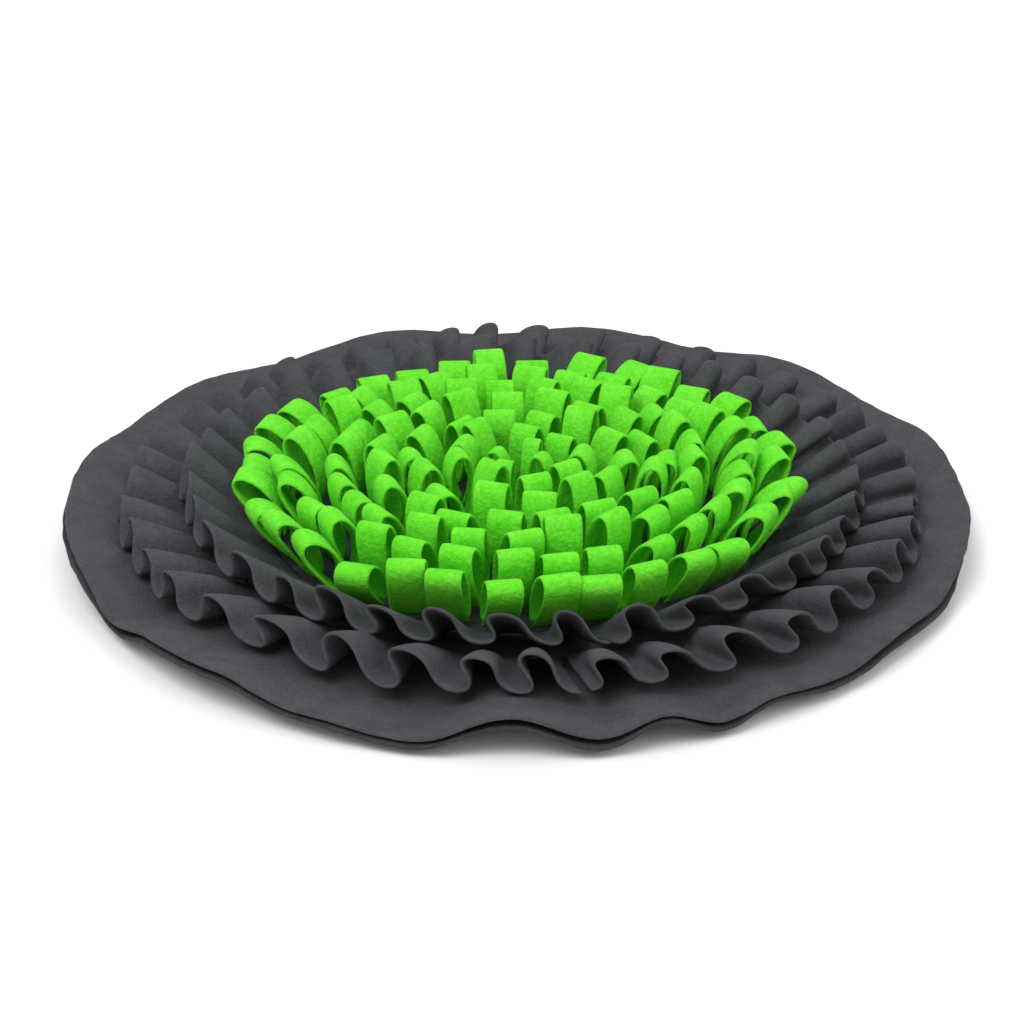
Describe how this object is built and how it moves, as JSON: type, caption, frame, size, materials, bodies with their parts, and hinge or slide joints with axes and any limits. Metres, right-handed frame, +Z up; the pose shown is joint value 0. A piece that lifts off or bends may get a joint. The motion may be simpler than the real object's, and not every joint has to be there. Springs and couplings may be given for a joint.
{
  "type": "snuffle mat",
  "caption": "Round fleece mat for a pet to forage in: two wavy rounds, two gathered ruffles leaning outward and a middle filled with rings of upright cloth loops.",
  "frame": {"origin": "on the floor, under the middle of the mat", "axes": "+Z up, through the mat's middle; -Y towards the side where the ruffles' ends meet"},
  "size_m": [0.4547, 0.4537, 0.049],
  "materials": {
    "charcoal_fleece": "matt napped fleece",
    "grey_fleece": "matt napped fleece",
    "green_fleece": "soft pebbled fleece"
  },
  "bodies": {
    "root": {"base_bottom": "charcoal_fleece", "base_top": "grey_fleece", "ruffle_outer": "grey_fleece", "ruffle_inner": "grey_fleece", "loop_row_1": "green_fleece", "loop_row_2": "green_fleece", "loop_row_3": "green_fleece", "loop_row_4": "green_fleece", "loop_row_5": "green_fleece", "loop_row_6": "green_fleece"}
  },
  "joints": []
}
